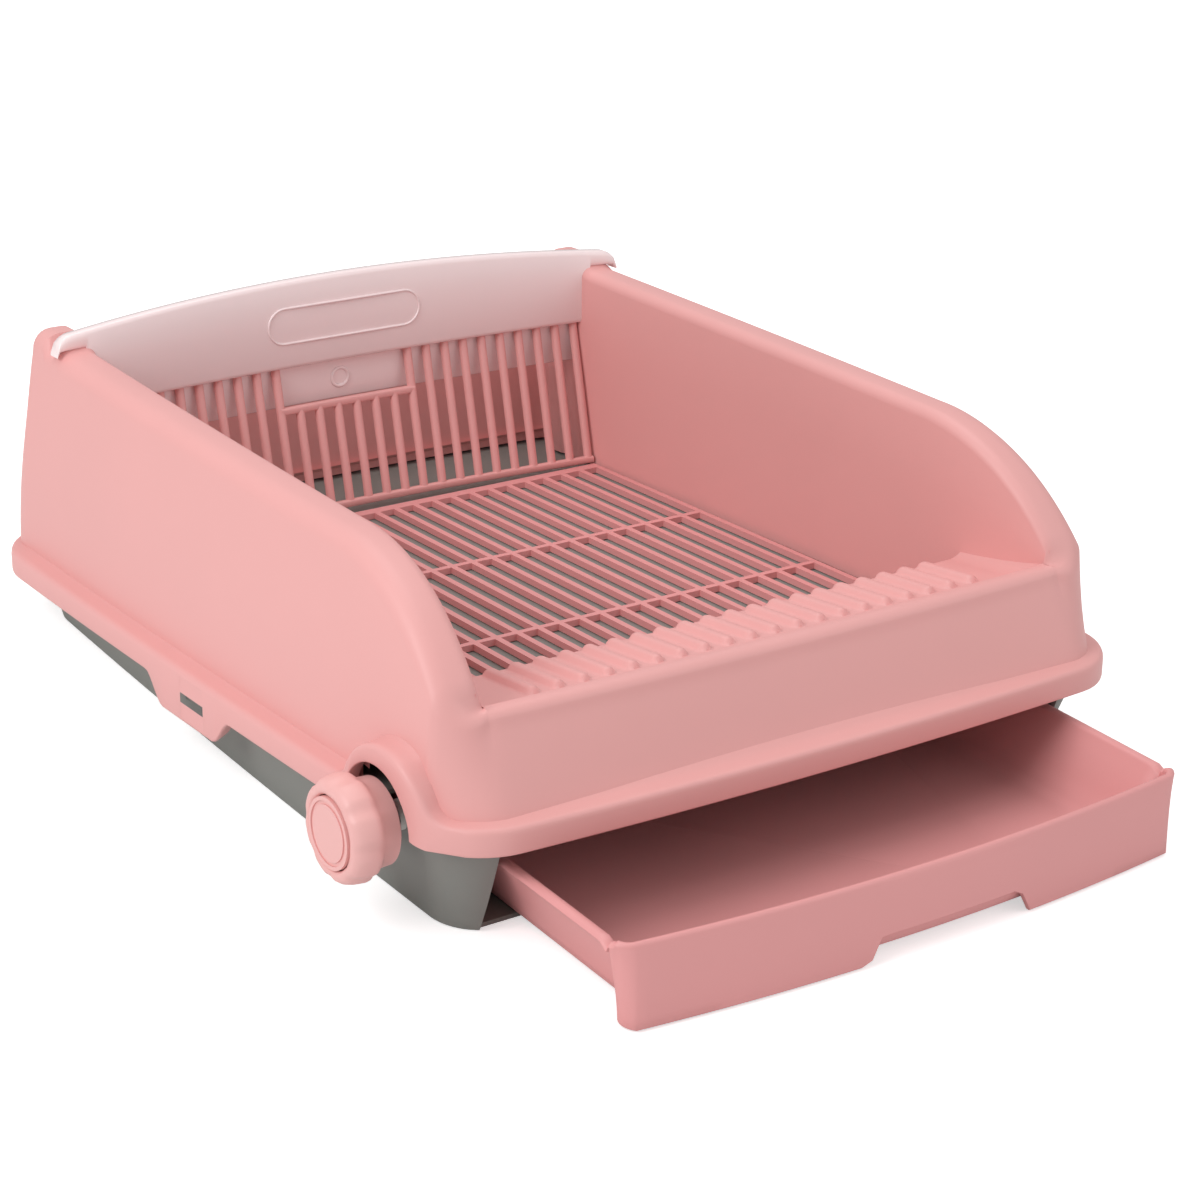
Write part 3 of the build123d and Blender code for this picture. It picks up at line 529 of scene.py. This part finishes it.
def ledge_height(x, y, inner_half_width):
    """Height of the sloping ledge behind the lip, with its end blends and anti-slip ribs."""
    share = (y - LEDGE_FRONT_Y) / (LEDGE_REAR_Y - LEDGE_FRONT_Y)
    height = LEDGE_FRONT_Z + (LEDGE_REAR_Z - LEDGE_FRONT_Z) * share
    reach = min(LEDGE_BLEND, max(0.0, inner_half_width - abs(x)))
    height += LEDGE_BLEND - math.sqrt(LEDGE_BLEND ** 2 - (LEDGE_BLEND - reach) ** 2)
    nearest = RIB_X + RIB_PITCH * (round((x - RIB_X) / RIB_PITCH + 0.5) - 0.5)
    if abs(nearest - RIB_X) < RIB_PITCH * RIB_COUNT / 2:
        along = max(RIB_FRONT_Y - y, y - RIB_REAR_Y, 0.0)
        away = math.hypot(x - nearest, along)
        if away < RIB_RADIUS:
            height += max(0.0, math.sqrt(RIB_RADIUS ** 2 - away ** 2) - (RIB_RADIUS - RIB_HEIGHT))
    return height


def ledge_mesh():
    """The ledge and its ribs as one moulded surface."""
    inner = WALL_HALF_WIDTH - SIDE_BOW - WALL_DEPTH
    xs, ys = spread(-inner, inner, LEDGE_STEP_X), spread(LEDGE_FRONT_Y, LEDGE_REAR_Y, LEDGE_STEP_Y)
    points = []
    for x in xs:
        points += [(x, y, ledge_height(x, y, inner)) for y in ys]
        points.append((x, LEDGE_REAR_Y + LEDGE_NOSE[0], LEDGE_REAR_Z - LEDGE_NOSE[1]))
        points.append((x, LEDGE_REAR_Y + LEDGE_FACE, WALL_FOOT_Z))
    return points, grid_faces(len(xs), len(ys) + 2)


def make_shell():
    """The upper shell: walls, rim with its tabs and arch, ledge."""
    points, faces = gather((wall_mesh(), rim_mesh(), tab_fill(), ledge_mesh()))
    add_mesh("shell_skin", points, faces, DECK, SHELL, "shell", ["upper_shell"])


# ---- back panel -----------------------------------------------------------------------------
PANEL_Y = 213.0            # its front face at the middle
PANEL_HALF_WIDTH = 206.5
PANEL_BOW = 12.5
PANEL_DEPTH = 10.5
PLATE_STEP = 2.0
BAND_LOW = 109.0
BAND_TOP = 166.8
BAND_TOP_END = 156.0
BAND_ROUND = 3.0
EAR_ROUND = 10.0
EAR_LOW = 147.0            # underside of the ears, over the walls' crest
EAR_START = 186.0
EAR_THICKNESS = 2.0        # at least
SKIRT_LOW = 82.0
SKIRT_OVERLAP = 4.0        # into the band
SKIRT_SETBACK = 7.5
SKIRT_HALF_WIDTH = 182.0
SKIRT_ROUND = 1.0
HANDLE_HALF = 56.0         # moulded outline on the band
HANDLE_RADIUS = 11.5
HANDLE_Z = 137.5
HANDLE_STEPS = 16
LINE_RADIUS = 0.8
LINE_SINK = 0.1
BUTTON_Z = 96.0
BUTTON_RADIUS = 6.1
BUTTON_BEAD = 1.2
BUTTON_STEPS = 32
TUBE_SIDES = 10
SOFT_EDGE = 0.3            # share of a rounding at which its middle row lies


def bow(x):
    """How far a place beside the middle lies ahead of it on the bowed panel."""
    return PANEL_BOW * (x / PANEL_HALF_WIDTH) ** 2


def band_top(x):
    """Top of the panel's band: a flat arch with rounded ears."""
    share = abs(x) / PANEL_HALF_WIDTH
    top = BAND_TOP + (BAND_TOP_END - BAND_TOP) * share * share
    past = abs(x) - (PANEL_HALF_WIDTH - EAR_ROUND)
    return top - (EAR_ROUND - math.sqrt(max(0.0, EAR_ROUND ** 2 - past * past)) if past > 0 else 0.0)


def band_low(x):
    """Underside of the band, higher under the ears."""
    return BAND_LOW if abs(x) < EAR_START else min(EAR_LOW, band_top(x) - EAR_THICKNESS)


def plate_mesh(half_width, front, depth, low_of, top_of, rounding):
    """A bowed upright plate with rounded long edges, closed at its ends."""
    xs = spread(-half_width, half_width, PLATE_STEP)
    points = []
    for x in xs:
        low, top, y = low_of(x), top_of(x), front - bow(x)
        soft = min(rounding, (top - low) / 3)
        part = soft * SOFT_EDGE
        section = [(depth, low), (soft, low), (part, low + part), (0, low + soft), (0, top - soft),
                   (part, top - part), (soft, top), (depth - soft, top), (depth, top - soft), (depth, low)]
        points += [(x, y + back, z) for back, z in section]
    rows = len(section)
    faces = grid_faces(len(xs), rows)
    faces.append(tuple(range(rows - 1)))
    faces.append(tuple(len(points) - 2 - k for k in range(rows - 1)))
    return points, faces


def tube_on_panel(name, path, radius):
    """A closed round bead along a path on the panel."""
    points, count = [], len(path)
    for i, point in enumerate(path):
        along = (Vector(path[(i + 1) % count]) - Vector(path[i - 1])).normalized()
        out = along.cross(Vector((0, 1, 0))).normalized()
        for k in range(TUBE_SIDES + 1):
            angle = math.tau * k / TUBE_SIDES
            lift = Vector((0, radius * math.sin(angle), 0))
            points.append(tuple(Vector(point) + out * radius * math.cos(angle) + lift))
    faces = grid_faces(count, TUBE_SIDES + 1, closed=True)
    add_mesh(name, points, faces, DECK, PANEL, "panel")


def make_panel():
    """The lift-out back panel: band with ears, thin skirt, handle outline and button."""
    band = plate_mesh(PANEL_HALF_WIDTH, PANEL_Y, PANEL_DEPTH, band_low, band_top, BAND_ROUND)
    skirt = plate_mesh(SKIRT_HALF_WIDTH, PANEL_Y + SKIRT_SETBACK, PANEL_DEPTH - SKIRT_SETBACK,
                       lambda x: SKIRT_LOW, lambda x: BAND_LOW + SKIRT_OVERLAP, SKIRT_ROUND)
    points, faces = gather((band, skirt))
    add_mesh("panel_skin", points, faces, DECK, PANEL, "panel", ["back_panel"])

    outline, straight = [], HANDLE_HALF - HANDLE_RADIUS
    for side, start in ((1, -90), (-1, 90)):
        for k in range(HANDLE_STEPS + 1):
            angle = math.radians(start + 180 * k / HANDLE_STEPS)
            x = side * straight + HANDLE_RADIUS * math.cos(angle)
            outline.append((x, PANEL_Y - bow(x) - LINE_SINK, HANDLE_Z + HANDLE_RADIUS * math.sin(angle)))
    tube_on_panel("handle_line", outline, LINE_RADIUS)
    ring = []
    for k in range(BUTTON_STEPS):
        angle = math.tau * k / BUTTON_STEPS
        x, z = BUTTON_RADIUS * math.cos(angle), BUTTON_Z + BUTTON_RADIUS * math.sin(angle)
        ring.append((x, PANEL_Y + SKIRT_SETBACK, z))
    tube_on_panel("button_ring", ring, BUTTON_BEAD)


# ---- grille ---------------------------------------------------------------------------------
BAR_COUNT = 26
BAR_PITCH = 14.1
BAR_WIDTH = 5.4
BAR_DEPTH = 4.4
BAR_ROUND = 0.8            # depth of the bars' round front, in half widths
BAR_SIDES = 8
BAR_LOW = 17.0
BAR_TOP = 112.0            # hidden behind the panel's band
BAR_LEAN = 0.22            # the foot stands forward, for each unit of height
BAR_SETBACK = 2.6          # of the top behind the panel's front face
GAP_HALF = 45.0            # open window above a rail
GAP_RAIL = 82.0
RAIL_HALF = 2.5
RAIL_ROUND = 1.2
RAIL_SETBACK = 0.6


def bar_mesh(x, low, top):
    """One upright round-fronted bar of the leaning grille."""
    half = BAR_WIDTH / 2
    section = []
    for k in range(BAR_SIDES + 1):
        angle = math.pi * k / BAR_SIDES
        section.append((half * math.cos(angle), -half * BAR_ROUND * math.sin(angle)))
    section += [(-half, BAR_DEPTH - half), (half, BAR_DEPTH - half), section[0]]
    points = []
    for z in (low, top):
        y = PANEL_Y + BAR_SETBACK - bow(x) - BAR_LEAN * (BAR_TOP - z) + half
        points += [(x + dx, y + dy, z) for dx, dy in section]
    rows = len(section)
    ends = [tuple(range(rows - 1)), tuple(rows + k for k in range(rows - 1))]
    return points, grid_faces(2, rows) + ends


def rail_mesh(half_width, middle):
    """A rail across the bars."""
    front = PANEL_Y + BAR_SETBACK - BAR_LEAN * (BAR_TOP - middle) + RAIL_SETBACK
    return plate_mesh(half_width, front, BAR_DEPTH,
                      lambda x: middle - RAIL_HALF, lambda x: middle + RAIL_HALF, RAIL_ROUND)


def make_grille():
    """The comb of bars behind the litter, with its foot rail and the rail under the open window."""
    parts = []
    for i in range(BAR_COUNT):
        x = (i - (BAR_COUNT - 1) / 2) * BAR_PITCH
        parts.append(bar_mesh(x, BAR_LOW, GAP_RAIL if abs(x) < GAP_HALF else BAR_TOP))
    wide = (BAR_COUNT - 1) / 2 * BAR_PITCH + BAR_WIDTH / 2
    parts.append(rail_mesh(GAP_HALF + BAR_WIDTH, GAP_RAIL))
    parts.append(rail_mesh(wide, BAR_LOW))
    points, faces = gather(parts)
    add_mesh("grille_skin", points, faces, DECK, SHELL, "shell", ["rear_grille"])


# ---- drawer ---------------------------------------------------------------------------------
DRAWER_HALF_WIDTH = 186.0
DRAWER_FRONT = -353.5      # before the bow of the front
DRAWER_REAR = -61.0
DRAWER_BOW = 11.5
DRAWER_CORNER = 10.0
DRAWER_LOW = 3.5
DRAWER_TOP = 45.5
DRAWER_DRAFT = 22.0        # narrower at the floor on each side
REAR_DRAFT = 4.0
SIDE_BELLY = 8.0           # outward hollow of the sides' drafted face
DRAWER_SKIN = 3.0
DRAWER_LIP = 7.0           # width of the rolled rim
LIP_SLIM = 2.5             # narrower along the front
LIP_ROUND = 2.0
LIP_ROWS = 6
FACE_RISE = 1.5            # of the front over the sides
FACE_LOW = 1.2
FACE_RAKE = 4.0            # foot of the face ahead of its top
FACE_FOOT_DRAFT = 11.0
FACE_SHARES = (0.02, 0.15, 0.35, 0.55, 0.75, 0.93)       # heights of the outer face's rows
FOOT_INSET = 1.0
INNER_TUCK = 0.3           # the inner face stands in under the rim by this share of its overhang
INNER_DROP = 6.0
FLOOR_BLEND = 8.0
GRIP_X = 14.0              # middle of the finger notch
GRIP_HALF = 46.0
GRIP_EASE = 9.0
GRIP_HEIGHT = 14.0
GRIP_FRONTAL = 0.9         # the notch stays on the straight of the front
NOTCH_Y = -346.0           # vee in the side rims beside the front
NOTCH_HALF = 8.0
NOTCH_DEPTH = 4.5


def drawer_column(x, y, nx, ny):
    """One section of the drawer: outer face, rolled rim, inner face."""
    front = max(0.0, -ny)
    low, top = DRAWER_LOW, DRAWER_TOP
    draft = DRAWER_DRAFT * abs(nx) + REAR_DRAFT * (1 - abs(nx))
    if front > 0:
        low = FACE_LOW
        draft = FACE_FOOT_DRAFT * abs(nx) - FACE_RAKE * front
    if front > GRIP_FRONTAL:
        low += GRIP_HEIGHT * ease((GRIP_HALF + GRIP_EASE - abs(x - GRIP_X)) / GRIP_EASE)
    if front > 0.5:
        top += FACE_RISE
    if abs(nx) == 1:
        top -= NOTCH_DEPTH * max(0.0, 1 - abs(y - NOTCH_Y) / NOTCH_HALF)
    belly = 0.0 if front else SIDE_BELLY
    column = []

    def add(inset, z):
        column.append((x - nx * inset, y - ny * inset, z))

    def lean(z):
        share = max(0.0, (top - z) / DRAWER_TOP)
        return draft * share + belly * share * (1 - share)

    add(lean(low) + DRAWER_SKIN, low)
    add(lean(low) + FOOT_INSET, low)
    for share in FACE_SHARES:
        z = low + (top - low) * share
        add(lean(z), z)
    lip = DRAWER_LIP - LIP_SLIM * front
    for k in range(LIP_ROWS + 1):
        angle = math.pi * k / LIP_ROWS
        add(lip / 2 * (1 - math.cos(angle)), top - LIP_ROUND + LIP_ROUND * math.sin(angle))
    for z in (top - INNER_DROP, top / 2, DRAWER_LOW + FLOOR_BLEND):
        add(lip + lean(z) - (lip - DRAWER_SKIN) * INNER_TUCK, z)
    add(lip + lean(DRAWER_LOW) + DRAWER_SKIN, DRAWER_LOW + DRAWER_SKIN)
    return column


def make_drawer():
    """The pull-out drawer: shallow tray with a bowed front and a finger notch under it."""
    stations = loop_stations(
        DRAWER_HALF_WIDTH, DRAWER_FRONT, DRAWER_REAR, DRAWER_CORNER, 0, DRAWER_BOW, 0)
    columns = [drawer_column(*station) for station in stations]
    points = [p for column in columns for p in column]
    rows = len(columns[0])
    faces = grid_faces(len(columns), rows, closed=True)
    faces.append(tuple(i * rows + rows - 1 for i in range(len(columns))))
    add_mesh("drawer_skin", points, faces, FLAT, DRAWER, "drawer", ["drawer_tray"])


# ---- knob -----------------------------------------------------------------------------------
KNOB_Y = -205.0
KNOB_Z = 58.4
KNOB_STEPS = 128
# Its profile from back to face: place along the shaft, radius.
KNOB_PROFILE = (
    (-227.5, 21.0), (-229.0, 23.2), (-237.0, 23.6), (-240.0, 26.2), (-242.0, 27.9), (-244.5, 28.4),
    (-250.0, 27.9), (-253.5, 27.0), (-256.0, 25.2), (-257.0, 22.6), (-256.6, 20.4), (-255.2, 19.6),
)
DIMPLE_COUNT = 8
DIMPLE_SHARE = 0.045       # depth, of the radius
DIMPLE_WIDTH = 1.5         # higher is narrower
DIMPLE_BACK_X = 236.0      # they deepen from here over the next length
DIMPLE_RUN = 6.0
FACE_RADIUS = 22.0         # on the face inside this radius they are fainter
FACE_SHARE = 0.3


def make_knob():
    """The turning knob, with soft finger dimples round it."""
    points = []
    for k in range(KNOB_STEPS):
        angle = math.tau * k / KNOB_STEPS
        lobe = max(0.0, math.cos(DIMPLE_COUNT * angle)) ** DIMPLE_WIDTH
        for x, radius in KNOB_PROFILE:
            strength = ease((abs(x) - DIMPLE_BACK_X) / DIMPLE_RUN)
            strength *= 1 if radius > FACE_RADIUS else FACE_SHARE
            r = radius * (1 - DIMPLE_SHARE * lobe * strength)
            points.append((x, KNOB_Y + r * math.cos(angle), KNOB_Z + r * math.sin(angle)))
    faces = grid_faces(KNOB_STEPS, len(KNOB_PROFILE), closed=True)
    add_mesh("knob_skin", points, faces, FLAT, KNOB, "lifter", ["knob"])


# ---- stage ----------------------------------------------------------------------------------
# Name, place in metres, width in metres and power in watts.
LAMPS = (
    ("key", (-2.1, -0.3, 1.7), 1.3, 30.0),
    ("fill", (1.4, -1.9, 1.2), 1.8, 8.0),
    ("top", (0.1, 0.5, 2.2), 1.6, 15.0),
)
WORLD_STRENGTH = 0.5
FLOOR_LIFT = 0.56          # light that only the camera sees in the floor, so that it reads white
FLOOR_HALF = 8.0
FLOOR_ALBEDO = 0.88
FLOOR_ROUGHNESS = 0.8


def camera_only(nodes, links, value, target):
    """Feed a value to a socket for camera rays alone."""
    path = nodes.new("ShaderNodeLightPath")
    scale = nodes.new("ShaderNodeMath")
    scale.operation = "MULTIPLY"
    scale.inputs[1].default_value = value
    links.new(path.outputs["Is Camera Ray"], scale.inputs[0])
    links.new(scale.outputs["Value"], target)


def make_floor():
    """A plain pale floor that keeps the object's shadow."""
    mesh = bpy.data.meshes.new("floor")
    half = FLOOR_HALF
    corners = [(-half, -half, 0), (half, -half, 0), (half, half, 0), (-half, half, 0)]
    mesh.from_pydata(corners, [], [(0, 1, 2, 3)])
    floor = bpy.data.objects.new("floor", mesh)
    bpy.context.scene.collection.objects.link(floor)
    material = bpy.data.materials.new("floor")
    material.use_nodes = True
    nodes, links = material.node_tree.nodes, material.node_tree.links
    shader = nodes["Principled BSDF"]
    shader.inputs["Base Color"].default_value = (FLOOR_ALBEDO, FLOOR_ALBEDO, FLOOR_ALBEDO, 1)
    shader.inputs["Roughness"].default_value = FLOOR_ROUGHNESS
    shader.inputs["Emission Color"].default_value = (1, 1, 1, 1)
    camera_only(nodes, links, FLOOR_LIFT, shader.inputs["Emission Strength"])
    floor.data.materials.append(material)


def make_world():
    """An even surround, white where the camera sees it."""
    world = bpy.data.worlds.new("studio")
    world.use_nodes = True
    nodes, links = world.node_tree.nodes, world.node_tree.links
    background = nodes["Background"]
    background.inputs["Color"].default_value = (1, 1, 1, 1)
    path = nodes.new("ShaderNodeLightPath")
    level = nodes.new("ShaderNodeMapRange")
    level.inputs["To Min"].default_value = WORLD_STRENGTH
    level.inputs["To Max"].default_value = 1.0
    links.new(path.outputs["Is Camera Ray"], level.inputs["Value"])
    links.new(level.outputs["Result"], background.inputs["Strength"])
    bpy.context.scene.world = world


def make_lamps():
    """Soft studio lamps, aimed at the object."""
    for name, place, size, power in LAMPS:
        data = bpy.data.lights.new(name, "AREA")
        data.size = size
        data.energy = power
        lamp = bpy.data.objects.new(name, data)
        lamp.location = place
        lamp.rotation_euler = (-Vector(place)).to_track_quat("-Z", "Y").to_euler()
        bpy.context.scene.collection.objects.link(lamp)


bpy.context.scene.view_settings.view_transform = "Standard"
make_camera()
dress_frame()
make_shell()
make_panel()
make_grille()
make_drawer()
make_knob()
make_floor()
make_world()
make_lamps()
